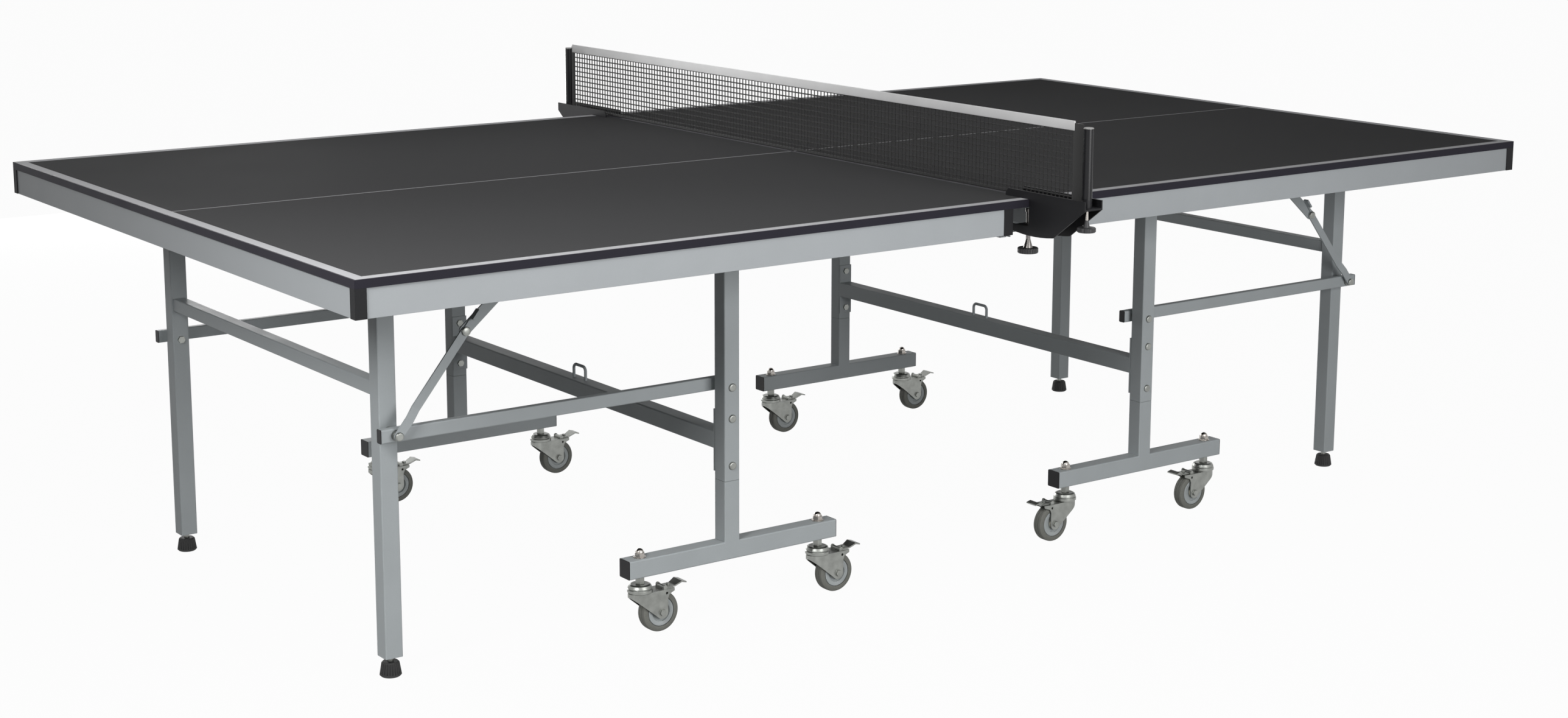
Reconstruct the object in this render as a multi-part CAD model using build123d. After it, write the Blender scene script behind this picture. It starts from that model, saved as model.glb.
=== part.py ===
from build123d import *
import math
import os

# Rollaway table-tennis table in two folding halves with a clamp-on net set.
# Millimetres. Origin on the floor under the middle of the net, X along the
# table, Y across it, Z up. The left half lies at -X. The right half mirrors it.

# Playing surface
table_length = 2740.0
table_width = 1525.0
table_height = 760.0
joint_gap = 2.0
board_thickness = 14.0
moulding_thickness = 3.0

# Apron under the board
apron_height = 48.0
apron_wall = 2.0
apron_top_flange = 22.0
apron_bottom_flange = 12.0
apron_net_setback = 58.0
net_rail_drop = 6.0
cap_wall = 2.0
cap_reach_x = 20.0
cap_reach_y = 17.0

# Tube sections
leg_tube = 33.0
foot_tube_height = 34.0
link_tube_width = 15.0
link_tube_height = 24.0
end_bar_tube = 25.0
tube_wall = 1.6
tube_corner = 2.4
plug_flange = 1.0
plug_depth = 12.0

# T-frame
t_leg_x = 520.0
t_leg_y = 514.0
pivot_drop = 26.0
leg_top_above_pivot = 15.0
frame_bar_height = 330.0
end_plate_thickness = 3.0
end_plate_height = 116.0
frame_bolt_spacing = 88.0
leg_seam_height = 257.5
leg_seam_gap = 0.6
spigot_rise = 14.0
catch_loop_width = 44.0
catch_loop_rise = 27.0
catch_loop_wire = 6.0
catch_loop_bend = 9.0

# Feet
foot_offset = 8.0
foot_length = 458.0
foot_underside = 110.0
caster_inset = 31.0

# End-leg frame
end_leg_x = 1170.0
end_leg_y = 443.0
end_leg_bottom = 35.0
end_bar_centre = 502.0
insert_height = 30.0

# Link bars
link_height = 432.0
link_outer_y = 488.0
link_overhang = 27.0

# Pivot hardware
hinge_pin_radius = 5.0
bolt_radius = 4.0
bore_clearance = 0.25
bolt_head_radius = 7.5
bolt_head_height = 4.0
side_gap = 0.4
clevis_plate = 3.0
clevis_width = 44.0
clevis_gap = 1.0
spacer_radius = 9.0

# Folding brace
brace_lower_width = 16.0
brace_upper_width = 20.0
brace_thickness = 3.0
brace_spacer = 8.0
brace_mid_run = 131.0
brace_mid_rise = 162.0
brace_lug_run = 287.0
brace_lug_drop = 21.0
brace_tail = 42.0
brace_tail_width = 4.0
brace_tail_rise = 4.0
joggle_start = 34.0
joggle_length = 20.0
stop_lug_length = 20.0
stop_lug_start = 22.0
stop_lug_stand = 9.0
rivet_radius = 7.5
rivet_height = 3.5

# Levelers
leveler_radius = 19.0
leveler_shoulder_radius = 15.5
leveler_height = 26.0
leveler_round = 2.5
leveler_ribs = 24
leveler_flute = 1.2
stud_radius = 5.0
stud_length = 34.0

# Casters
wheel_radius = 37.5
wheel_width = 22.0
caster_trail = 38.0
hub_ring_radius = 27.0
hub_recess_radius = 18.0
hub_recess = 3.0
hub_boss_radius = 9.0
tyre_round = 4.0
tread_groove_depth = 1.2
tread_groove_width = 1.6
hub_line = 1.5
fork_plate = 2.5
fork_gap = 2.5
fork_crown = 79.0
fork_lobe = 12.0
fork_front_drop = 3.0
fork_rear = 12.0
fork_toe = 27.0
fork_toe_half_width = 14.5
fork_lip = 5.0
fork_throat_round = 9.0
fork_hole_radius = 2.5
fork_hole_rise = 34.5
housing_radius = 23.0
housing_height = 16.0
race_groove = 1.6
stem_radius = 6.0
stem_hex = 9.0
axle_radius = 4.0
axle_head_radius = 6.5
axle_head_height = 4.0
nut_radius = 9.8
nut_height = 7.5
nut_dome = 7.5
washer_radius = 11.5
washer_height = 1.5
pedal_half_width = 11.0
pedal_tip_half_width = 14.0
pedal_pivot_run = 8.0
pedal_pivot_rise = 3.0
pedal_pin_radius = 1.5
fork_ear = 8.0
pedal_flat = 22.0
pedal_slope = 13.0
pedal_rise = 6.5
pedal_tip = 10.0
pedal_tip_drop = 2.5
pedal_thickness = 2.5
pedal_screw_radius = 4.5
pedal_screw_height = 3.0

# Net set
net_height = 152.5
tape_height = 18.0
tape_thickness = 3.0
net_thickness = 2.0
net_lift = 4.0
net_half_span = 854.0
net_columns = 36
net_rows = 8
net_cord = 3.0
post_y = 893.5
post_radius = 9.2
post_wall = 1.6
post_top_drop = 8.5
clamp_half_width = 19.0
clamp_plate = 2.5
clamp_arm_reach = 64.5
clamp_arm_height = 14.0
clamp_nose = 6.0
throat_gap = 0.8
throat_chamfer = 3.0
jaw_drop = 50.0
jaw_thickness = 17.2
jaw_nut_height = 9.0
jaw_nut_reach = 38.0
jaw_reach = 50.0
belly_out = 10.5
belly_end = 66.5
belly_sag = 5.0
belly_steps = 7
clamp_tail = 148.5
clamp_tail_drop = 3.5
clamp_shelf = 3.5
clamp_screw_inset = 24.5
clamp_screw_radius = 4.2
clamp_pad_radius = 6.0
clamp_pad_height = 6.0
clamp_screw_ease = 8.0
clamp_knob_radius = 19.2
clamp_knob_height = 10.0
clamp_knob_drop = 104.5
knob_cone_height = 16.0
knob_cone_radius = 8.8
knob_flutes = 24
flute_radius = 1.2
post_knob_radius = 17.0
post_knob_height = 8.5
post_knob_drop = 44.2
post_knob_lobes = 12
post_cone_height = 13.0
post_screw_radius = 3.2
post_screw_rise = 30.0

# Worked-out places
half_length = table_length / 2
half_width = table_width / 2
board_under = table_height - board_thickness
apron_bottom = board_under - apron_height
rail_face_y = half_width - cap_wall
rail_face_end = half_length - cap_wall
net_edge = joint_gap / 2
rail_face_net = net_edge + apron_net_setback + cap_wall
half_tube = leg_tube / 2
pivot_height = apron_bottom - pivot_drop
foot_x = t_leg_x - foot_offset
foot_top = foot_underside + foot_tube_height
link_inner_y = link_outer_y - link_tube_width
link_y = (link_outer_y + link_inner_y) / 2
t_inner_y = t_leg_y - half_tube
t_outer_y = t_leg_y + half_tube
leg_inner_y = end_leg_y - half_tube
leg_outer_y = end_leg_y + half_tube
brace_lug_height = board_under - brace_lug_drop
brace_in_y = link_outer_y + side_gap
brace_out_y = brace_in_y + brace_thickness + side_gap
brace_end_y = link_outer_y + brace_spacer
tape_top = table_height + net_height
jaw_height = table_height - jaw_drop
clamp_screw_y = half_width - clamp_screw_inset
clamp_knob_base = table_height - clamp_knob_drop
post_knob_base = table_height - post_knob_drop
fork_inner = wheel_width / 2 + fork_gap
fork_outer = fork_inner + fork_plate


def block(x0, x1, y0, y1, z0, z1):
    """A box between two corners."""
    size = (abs(x1 - x0), abs(y1 - y0), abs(z1 - z0))
    middle = ((x0 + x1) / 2, (y0 + y1) / 2, (z0 + z1) / 2)
    return Pos(*middle) * Box(*size)


def round_bar(x0, x1, y0, y1, z0, z1, axis, corner):
    """A square bar with rounded long edges."""
    bar = block(x0, x1, y0, y1, z0, z1)
    direction = (Axis.X, Axis.Y, Axis.Z)[axis]
    return fillet(bar.edges().filter_by(direction), corner)


def tube_core(x0, x1, y0, y1, z0, z1, axis):
    """The hollow of a tube."""
    spans = [[x0, x1], [y0, y1], [z0, z1]]
    for index, span in enumerate(spans):
        if index != axis:
            span[0] += tube_wall
            span[1] -= tube_wall
    (a0, a1), (b0, b1), (c0, c1) = spans
    return round_bar(a0, a1, b0, b1, c0, c1, axis, tube_corner - tube_wall)


def tube(x0, x1, y0, y1, z0, z1, axis):
    """A thin-walled square tube with rounded corners, open along one axis."""
    outer = round_bar(x0, x1, y0, y1, z0, z1, axis, tube_corner)
    return outer - tube_core(x0, x1, y0, y1, z0, z1, axis)


def rod(axis, x, y, z, radius, length):
    """A round bar centred on a point, along X, Y or Z."""
    turn = {"x": Rot(0, 90, 0), "y": Rot(90, 0, 0), "z": Rot(0, 0, 0)}[axis]
    return Pos(x, y, z) * turn * Cylinder(radius, length)


def rod_y(x, z, y0, y1, radius):
    """A round bar along Y between two heights of Y."""
    return rod("y", x, (y0 + y1) / 2, z, radius, abs(y1 - y0))


def rod_z(x, y, z0, z1, radius):
    """A round bar along Z between two heights."""
    return rod("z", x, y, (z0 + z1) / 2, radius, abs(z1 - z0))


def hexagon(x, y, z0, z1, radius):
    """A hexagonal prism along Z."""
    outline = RegularPolygon(radius, 6)
    return Pos(x, y, z0) * extrude(outline, z1 - z0)


def plate_xz(points, y0, y1):
    """A flat plate from an outline in X and Z, thick along Y."""
    face = make_face(Polyline(*points, close=True))
    solid = Plane.XZ * extrude(face, y1 - y0)
    return Pos(0, y1 - solid.bounding_box().max.Y, 0) * solid


def plate_yz(points, x0, x1):
    """A flat plate from an outline in Y and Z, thick along X."""
    face = make_face(Polyline(*points, close=True))
    solid = Plane.YZ * extrude(face, x1 - x0)
    return Pos(x0 - solid.bounding_box().min.X, 0, 0) * solid


def turned(points, x, y):
    """A solid of revolution about Z from an outline of radius and height."""
    face = make_face(Polyline(*points, close=True))
    return Pos(x, y, 0) * revolve(Plane.XZ * face, Axis.Z)


def flip_y(shape):
    """The far-side twin of a near-side piece."""
    return mirror(shape, about=Plane.XZ)


def both_sides(shape):
    """A near-side piece and its far-side twin."""
    return [shape, flip_y(shape)]


def board():
    """Playing board inside its edge moulding."""
    inset = moulding_thickness
    y = half_width - inset
    return [block(inset - half_length, -net_edge - inset, -y, y, board_under, table_height)]


def edge_moulding():
    """Band round the board's edge."""
    outer = block(-half_length, -net_edge, -half_width, half_width, board_under, table_height)
    return [outer - board()[0]]


def apron():
    """Channel rails under the four edges of the board."""
    top = board_under - apron_wall
    y_in = rail_face_y - apron_wall
    flange_end = y_in - apron_top_flange
    web = block(-rail_face_end, -rail_face_net, -rail_face_y, -y_in, apron_bottom, board_under)
    upper = block(-rail_face_end, -rail_face_net, -y_in, -flange_end, top, board_under)
    lip_y = y_in - apron_bottom_flange
    lip_top = apron_bottom + apron_wall
    lower = block(-rail_face_end, -rail_face_net, -y_in, -lip_y, apron_bottom, lip_top)
    side = web + upper + lower
    ends = []
    for face, inward, drop in ((-rail_face_end, 1, 0), (-rail_face_net, -1, net_rail_drop)):
        inner = face + inward * apron_wall
        under = apron_bottom - drop
        bottom = under + apron_wall
        web = block(face, inner, -y_in, y_in, bottom, top)
        upper = block(inner, inner + inward * apron_top_flange, -flange_end, flange_end, top, board_under)
        web_top = block(face, inner, -flange_end, flange_end, top, board_under)
        lip = block(inner, inner + inward * apron_bottom_flange, -lip_y, lip_y, under, bottom)
        web_lip = block(face, inner, -lip_y, lip_y, under, bottom)
        ends.append(web + upper + web_top + lip + web_lip)
    return both_sides(side) + ends


def corner_caps():
    """Angle caps over the apron's four corners."""
    caps = []
    for edge, inward in ((-half_length, 1), (-rail_face_net + cap_wall, -1)):
        wall = edge + inward * cap_wall
        long_leg = block(
            edge, edge + inward * cap_reach_x, -half_width, -rail_face_y, apron_bottom, board_under
        )
        short_leg = block(
            edge, wall, -half_width, cap_reach_y - half_width, apron_bottom, board_under
        )
        caps += both_sides(long_leg + short_leg)
    return caps


def clevis(x, y_inner, y_outer):
    """Hinge clevis under the board on the near side, straddling a leg, with its pin."""
    half = clevis_width / 2
    y0 = y_inner - clevis_gap
    y1 = y_outer + clevis_gap
    base_under = board_under - clevis_plate
    bracket = block(
        x - half, x + half, -y1 - clevis_plate, -y0 + clevis_plate, base_under, board_under
    )
    for y in (-y0 + clevis_plate / 2, -y1 - clevis_plate / 2):
        ear = block(
            x - half, x + half, y - clevis_plate / 2, y + clevis_plate / 2, pivot_height, base_under
        )
        round_end = rod("y", x, y, pivot_height, half, clevis_plate)
        bracket += ear + round_end
    pin_in = -y0 + clevis_plate
    pin_out = -y1 - clevis_plate
    bracket -= rod_y(x, pivot_height, pin_in, pin_out, hinge_pin_radius)
    pin = rod_y(x, pivot_height, pin_in, pin_out, hinge_pin_radius)
    pin += rod_y(x, pivot_height, pin_out, pin_out - bolt_head_height / 2, bolt_head_radius)
    return [bracket, pin]


def brace_lug():
    """Lug under the board that carries the brace's upper end, with its pin."""
    x = brace_lug_run - end_leg_x
    half = brace_upper_width / 2
    y_face = -brace_in_y + side_gap
    y_back = y_face + clevis_plate
    ear = block(x - half, x + half, y_face, y_back, brace_lug_height, board_under)
    ear += rod_y(x, brace_lug_height, y_face, y_back, half)
    flange = block(
        x - half, x + half, y_back, y_back + brace_upper_width, board_under - clevis_plate, board_under
    )
    pin_end = -brace_out_y
    pin = rod_y(x, brace_lug_height, y_face, pin_end, bolt_radius)
    pin += rod_y(x, brace_lug_height, pin_end, pin_end - bolt_head_height / 2, bolt_head_radius)
    return [ear + flange + pin]


def hinge_brackets():
    """All hinge brackets under the board of one half."""
    pieces = []
    for near in clevis(-t_leg_x, t_inner_y, t_outer_y) + clevis(-end_leg_x, leg_inner_y, leg_outer_y):
        pieces += both_sides(near)
    return pieces + brace_lug()


def frame_bolt_heights():
    """Heights of the two bolts that hold each end plate."""
    return (
        frame_bar_height - frame_bolt_spacing / 2,
        frame_bar_height + frame_bolt_spacing / 2,
    )


def t_frame():
    """Two uprights, the crossbar with its end plates and the wire catch loop."""
    x0 = -t_leg_x - half_tube
    x1 = -t_leg_x + half_tube
    top = pivot_height + leg_top_above_pivot
    upright = tube(x0, x1, -t_outer_y, -t_inner_y, leg_seam_height + leg_seam_gap, top, 2)
    through = (-t_outer_y - 1, -t_inner_y + 1)
    upright -= rod_y(-t_leg_x, pivot_height, *through, hinge_pin_radius + bore_clearance)
    upright -= rod_y(-t_leg_x, link_height, *through, bolt_radius)
    plate = block(
        x0,
        x1,
        -t_inner_y,
        -t_inner_y + end_plate_thickness,
        frame_bar_height - end_plate_height / 2,
        frame_bar_height + end_plate_height / 2,
    )
    for z in frame_bolt_heights():
        upright -= rod_y(-t_leg_x, z, *through, bolt_radius)
        plate -= rod_y(-t_leg_x, z, -t_inner_y - 1, -t_inner_y + end_plate_thickness + 1, bolt_radius)
    bar_y = t_inner_y - end_plate_thickness
    bar_top = frame_bar_height + half_tube
    bar = tube(x0, x1, -bar_y, bar_y, frame_bar_height - half_tube, bar_top, 1)
    half = catch_loop_width / 2
    path = FilletPolyline(
        (-t_leg_x, -half, bar_top),
        (-t_leg_x, -half, bar_top + catch_loop_rise),
        (-t_leg_x, half, bar_top + catch_loop_rise),
        (-t_leg_x, half, bar_top),
        radius=catch_loop_bend,
    )
    start = Plane(origin=path @ 0, z_dir=path % 0)
    loop = sweep(start * Circle(catch_loop_wire / 2), path=path)
    return both_sides(upright) + both_sides(plate) + [bar, loop]


def foot():
    """One near-side foot: bar, leg stub with its spigot, and two end plugs."""
    x0 = -foot_x - foot_length / 2
    x1 = -foot_x + foot_length / 2
    bar = tube(x0, x1, -t_outer_y, -t_inner_y, foot_underside, foot_top, 0)
    for stem_x in caster_places():
        bar -= rod_z(stem_x, -t_leg_y, foot_underside - 1, foot_top + 1, stem_radius)
    leg0 = -t_leg_x - half_tube
    leg1 = -t_leg_x + half_tube
    stub = tube(leg0, leg1, -t_outer_y, -t_inner_y, foot_top - tube_corner, leg_seam_height, 2)
    stub -= round_bar(x0, x1, -t_outer_y, -t_inner_y, foot_underside, foot_top, 0, tube_corner)
    seam = (leg_seam_height - spigot_rise, leg_seam_height + leg_seam_gap + spigot_rise)
    spigot = tube_core(leg0, leg1, -t_outer_y, -t_inner_y, *seam, 2)
    spigot -= rod_z(-t_leg_x, -t_leg_y, seam[0] - 1, seam[1] + 1, half_tube - tube_wall * 2)
    pieces = [bar, stub + spigot]
    for end, outward in ((x0, -1), (x1, 1)):
        section = (-t_outer_y, -t_inner_y, foot_underside, foot_top)
        pieces.append(tube_plug(end, outward, section))
    return pieces


def tube_plug(end, outward, section):
    """End plug of a tube along X: a thin flange and a core in the tube."""
    flange = round_bar(*sorted((end, end + outward * plug_flange)), *section, 0, tube_corner)
    core = tube_core(*sorted((end, end - outward * plug_depth)), *section, 0)
    return flange + core


def feet():
    """Near and far foot."""
    pieces = []
    for piece in foot():
        pieces += both_sides(piece)
    return pieces


def caster_places():
    """X of the two caster stems on one foot, the outer one first."""
    reach = foot_length / 2 - caster_inset
    return (-foot_x - reach, -foot_x + reach)


def pivot_bolt(x, z, y_head, y_end, radius):
    """A bolt along Y with a domed head on the near side and a plain nut."""
    bolt = rod_y(x, z, y_head, y_end, radius)
    head = rod_y(x, z, y_head, y_head - bolt_head_height, bolt_head_radius)
    head = fillet(head.faces().sort_by(Axis.Y)[0].edges(), bolt_head_height * 0.6)
    nut = Pos(x, y_end, z) * Rot(-90, 0, 0) * extrude(RegularPolygon(bolt_head_radius, 6), bolt_head_height)
    return bolt + head + nut


def frame_hardware():
    """Bolts of the T-frame, link pivots with spacers, and the caster stems with their nuts."""
    near = []
    plate_face = -t_inner_y + end_plate_thickness
    for z in frame_bolt_heights():
        near.append(pivot_bolt(-t_leg_x, z, -t_outer_y, plate_face, bolt_radius))
    near.append(pivot_bolt(-t_leg_x, link_height, -t_outer_y, -link_inner_y + side_gap, bolt_radius))
    spacer = rod_y(-t_leg_x, link_height, -t_inner_y, -link_outer_y - side_gap, spacer_radius)
    near.append(spacer - rod_y(-t_leg_x, link_height, -t_inner_y - 1, -link_outer_y, bolt_radius))
    housing_top = fork_crown + housing_height
    for x in caster_places():
        stem = rod_z(x, -t_leg_y, fork_crown + side_gap, foot_top + washer_height + nut_height, stem_radius)
        stem += hexagon(x, -t_leg_y, housing_top + side_gap, foot_underside, stem_hex)
        stem += rod_z(x, -t_leg_y, foot_top, foot_top + washer_height, washer_radius)
        nut_base = foot_top + washer_height
        stem += hexagon(x, -t_leg_y, nut_base, nut_base + nut_height, nut_radius)
        dome = Pos(x, -t_leg_y, nut_base + nut_height) * Sphere(nut_dome)
        stem += dome & block(
            x - nut_radius,
            x + nut_radius,
            -t_leg_y - nut_radius,
            -t_leg_y + nut_radius,
            nut_base + nut_height,
            nut_base + nut_height + nut_dome,
        )
        near.append(stem)
    pieces = []
    for piece in near:
        pieces += both_sides(piece)
    return pieces


def links():
    """Two link bars between the end legs and the T-legs, with their end plugs."""
    x0 = -end_leg_x - link_overhang
    x1 = -t_leg_x + link_overhang
    z0 = link_height - link_tube_height / 2
    z1 = link_height + link_tube_height / 2
    bar = tube(x0, x1, -link_outer_y, -link_inner_y, z0, z1, 0)
    for x in (-end_leg_x, -t_leg_x):
        bar -= rod_y(x, link_height, -link_outer_y - 1, -link_inner_y + 1, bolt_radius + bore_clearance)
    pieces = both_sides(bar)
    for end, outward in ((x0, -1), (x1, 1)):
        pieces += both_sides(tube_plug(end, outward, (-link_outer_y, -link_inner_y, z0, z1)))
    return pieces


def end_frame():
    """Two end legs with threaded inserts, and their crossbar."""
    x0 = -end_leg_x - half_tube
    x1 = -end_leg_x + half_tube
    top = pivot_height + leg_top_above_pivot
    leg = tube(x0, x1, -leg_outer_y, -leg_inner_y, end_leg_bottom, top, 2)
    through = (-leg_outer_y - 1, -leg_inner_y + 1)
    leg -= rod_y(-end_leg_x, pivot_height, *through, hinge_pin_radius + bore_clearance)
    leg -= rod_y(-end_leg_x, link_height, *through, bolt_radius)
    insert_top = end_leg_bottom + insert_height
    leg += tube_core(x0, x1, -leg_outer_y, -leg_inner_y, end_leg_bottom, insert_top, 2)
    leg -= rod_z(
        -end_leg_x, -end_leg_y, end_leg_bottom - 1, insert_top + 1, stud_radius + bore_clearance
    )
    half_bar = end_bar_tube / 2
    bar = tube(
        -end_leg_x - half_bar,
        -end_leg_x + half_bar,
        -leg_inner_y,
        leg_inner_y,
        end_bar_centre - half_bar,
        end_bar_centre + half_bar,
        1,
    )
    return both_sides(leg) + [bar]


def leg_bolts():
    """Pivot bolts and spacers where the links meet the end legs. The near one also holds the brace."""
    spacer = rod_y(-end_leg_x, link_height, -leg_outer_y, -link_inner_y + side_gap, spacer_radius)
    spacer -= rod_y(-end_leg_x, link_height, -leg_outer_y - 1, -link_inner_y + 1, bolt_radius)
    far_bolt = pivot_bolt(-end_leg_x, link_height, -link_outer_y - side_gap, -leg_inner_y, bolt_radius)
    near_head = -brace_end_y - brace_thickness - side_gap
    near_bolt = pivot_bolt(-end_leg_x, link_height, near_head, -leg_inner_y, bolt_radius)
    boss_in = -link_outer_y - side_gap
    boss_out = -brace_end_y + side_gap
    boss = rod_y(-end_leg_x, link_height, boss_in, boss_out, spacer_radius)
    boss -= rod_y(-end_leg_x, link_height, boss_in + 1, boss_out - 1, bolt_radius)
    return both_sides(spacer) + [boss, near_bolt, flip_y(far_bolt)]


def leveler():
    """Near-side screw leveler with a ribbed foot."""
    outline = [
        (0, 0),
        (leveler_radius - leveler_round, 0),
        (leveler_radius, leveler_round),
        (leveler_shoulder_radius, leveler_height - leveler_round),
        (leveler_shoulder_radius - leveler_round, leveler_height),
        (stud_radius, leveler_height),
        (stud_radius, leveler_height + stud_length),
        (0, leveler_height + stud_length),
    ]
    foot_body = turned(outline, 0, 0)
    lean = math.degrees(math.atan2(leveler_radius - leveler_shoulder_radius, leveler_height))
    middle = (leveler_radius + leveler_shoulder_radius) / 2
    cutter = Cylinder(leveler_flute, leveler_height * 2)
    flute = Pos(middle, 0, leveler_height / 2) * Rot(0, -lean, 0) * cutter
    flute &= block(0, leveler_radius * 2, -leveler_radius, leveler_radius, leveler_round * 2, leveler_height)
    for index in range(leveler_ribs):
        foot_body -= Rot(0, 0, index * 360 / leveler_ribs) * flute
    return Pos(-end_leg_x, -end_leg_y, 0) * foot_body


def brace_frame(x, z, run, rise):
    """Plane at a brace pivot: local X along the bar, local Y up its width, local Z towards -Y."""
    length = math.hypot(run, rise)
    along = (run / length, 0, rise / length)
    return Plane(origin=(x, 0, z), x_dir=along, z_dir=(0, -1, 0))


def bar_outline(length, width):
    """Flat bar outline with round ends, from one pivot to the other."""
    outline = Pos(length / 2, 0) * Rectangle(length, width)
    outline += Circle(width / 2)
    return outline + Pos(length, 0) * Circle(width / 2)


def brace_lower():
    """Lower bar: joggled inwards over the link, with a rivet head and a stop lug on a narrow tail."""
    frame = brace_frame(-end_leg_x, link_height, brace_mid_run, brace_mid_rise)
    length = math.hypot(brace_mid_run, brace_mid_rise)
    width = brace_lower_width
    end = length + brace_tail + width
    joggle_end = joggle_start + joggle_length
    inner = [
        (-width, brace_end_y),
        (joggle_start, brace_end_y),
        (joggle_end, brace_out_y),
        (end, brace_out_y),
    ]
    outer = [(u, y + brace_thickness) for u, y in reversed(inner)]
    strip = make_face(Polyline(*inner, *outer, close=True))
    side_plane = Plane(origin=(0, width, 0), x_dir=(1, 0, 0), z_dir=(0, -1, 0))
    strip_solid = extrude(side_plane * strip, width * 2)
    outline = bar_outline(length, width)
    outline += Pos(length + brace_tail / 2, brace_tail_rise) * Rectangle(brace_tail, brace_tail_width)
    blank = extrude(outline, brace_end_y + brace_thickness + width)
    bar = strip_solid & blank
    bore = Cylinder(bolt_radius + bore_clearance, brace_thickness * 4)
    bar -= Pos(0, 0, brace_end_y + brace_thickness / 2) * bore
    outer_face = brace_out_y + brace_thickness
    bar += Pos(length, 0, outer_face + rivet_height / 2) * Cylinder(rivet_radius, rivet_height)
    lug_u = length + stop_lug_start + stop_lug_length / 2
    lip_depth = brace_thickness + stop_lug_stand
    lip = Box(stop_lug_length, brace_tail_width, lip_depth)
    bar += Pos(lug_u, brace_tail_rise, brace_out_y + lip_depth / 2) * lip
    return frame * bar


def brace_upper():
    """Upper bar from the mid rivet to the lug under the board."""
    x = -end_leg_x + brace_mid_run
    z = link_height + brace_mid_rise
    run = brace_lug_run - brace_mid_run
    rise = brace_lug_height - z
    frame = brace_frame(x, z, run, rise)
    length = math.hypot(run, rise)
    bar = Pos(0, 0, brace_in_y) * extrude(bar_outline(length, brace_upper_width), brace_thickness)
    bore = Cylinder(bolt_radius + bore_clearance, brace_thickness * 4)
    bar -= Pos(length, 0, brace_in_y + brace_thickness / 2) * bore
    return frame * bar


def fork_plan(half_width):
    """Plan of the fork's wrapped sheet at one half width: round in front, narrowed at the toe."""
    front = -housing_radius + fork_outer
    toe = caster_trail + fork_toe
    step = caster_trail + fork_rear
    narrow = half_width - fork_outer + fork_toe_half_width
    plan = Pos((front + step) / 2, 0) * Rectangle(step - front, half_width * 2)
    plan += Pos(front, 0) * Circle(half_width)
    taper = Polyline((step, -half_width), (toe, -narrow), (toe, narrow), (step, half_width), close=True)
    return plan + make_face(taper)


def fork():
    """Swivel fork with its ball-race housing and axle, stem axis at the origin, trailing towards +X."""
    top = fork_crown + housing_height
    waist = fork_crown + housing_height / 2
    bore = stem_radius + bore_clearance
    housing = turned(
        [
            (bore, fork_crown),
            (housing_radius - race_groove, fork_crown),
            (housing_radius, fork_crown + race_groove),
            (housing_radius, waist - race_groove),
            (housing_radius - race_groove, waist),
            (housing_radius - race_groove / 2, waist + race_groove),
            (housing_radius - race_groove * 2, top - race_groove),
            (housing_radius - race_groove * 4, top),
            (bore, top),
        ],
        0,
        0,
    )
    crown_under = fork_crown - fork_plate
    crown = Pos(0, 0, crown_under) * extrude(fork_plan(fork_outer), fork_plate)
    crown -= rod_z(0, 0, crown_under - 1, fork_crown + 1, bore)
    slot_start = caster_trail + pedal_pivot_run - bolt_radius
    slot_end = caster_trail + fork_toe + 1
    slot_half = pedal_half_width + side_gap
    crown -= block(slot_start, slot_end, -slot_half, slot_half, crown_under - 1, fork_crown + 1)
    shell = extrude(fork_plan(fork_outer), fork_crown) - extrude(fork_plan(fork_inner), fork_crown)
    front = -housing_radius - 1
    toe = caster_trail + fork_toe
    rear = caster_trail + fork_rear
    throat = crown_under - fork_lip
    outline = [
        (front, fork_crown),
        (toe + 1, fork_crown),
        (toe + 1, throat + fork_lip / 2),
        (rear + fork_throat_round, throat),
        (rear + fork_throat_round * 0.3, throat - fork_throat_round * 0.3),
        (rear, throat - fork_throat_round),
        (rear, wheel_radius),
        (caster_trail, wheel_radius - fork_lobe * 0.98),
        (caster_trail - fork_lobe * 0.65, wheel_radius - fork_lobe * 0.75),
        (front, crown_under - fork_front_drop),
    ]
    shell &= plate_xz(outline, -fork_outer, fork_outer)
    body = housing + crown + shell
    for y0, y1 in ((-fork_outer, -fork_inner), (fork_inner, fork_outer)):
        body += rod_y(caster_trail, wheel_radius, y0, y1, fork_lobe)
        hole_x = rear - fork_hole_radius
        body -= rod_y(hole_x, wheel_radius + fork_hole_rise, y0 - 1, y1 + 1, fork_hole_radius)
    ear_x = caster_trail + pedal_pivot_run
    ear_z = fork_crown + side_gap + pedal_pivot_rise
    ear_in = pedal_half_width + side_gap
    ear_out = ear_in + fork_plate
    for y0, y1 in ((-ear_out, -ear_in), (ear_in, ear_out)):
        body += block(ear_x - fork_ear / 2, ear_x + fork_ear / 2, y0, y1, crown_under, ear_z)
        body += rod_y(ear_x, ear_z, y0, y1, fork_ear / 2)
    body += rod_y(ear_x, ear_z, -ear_out, ear_out, pedal_pin_radius)
    reach = fork_outer + axle_head_height
    body += rod_y(caster_trail, wheel_radius, -reach, reach, axle_radius)
    for y0, outward in ((-fork_outer, -1), (fork_outer, 1)):
        head = extrude(RegularPolygon(axle_head_radius, 6), axle_head_height)
        body += Pos(caster_trail, y0, wheel_radius) * Rot(-90 * outward, 0, 0) * head
    return body


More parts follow.
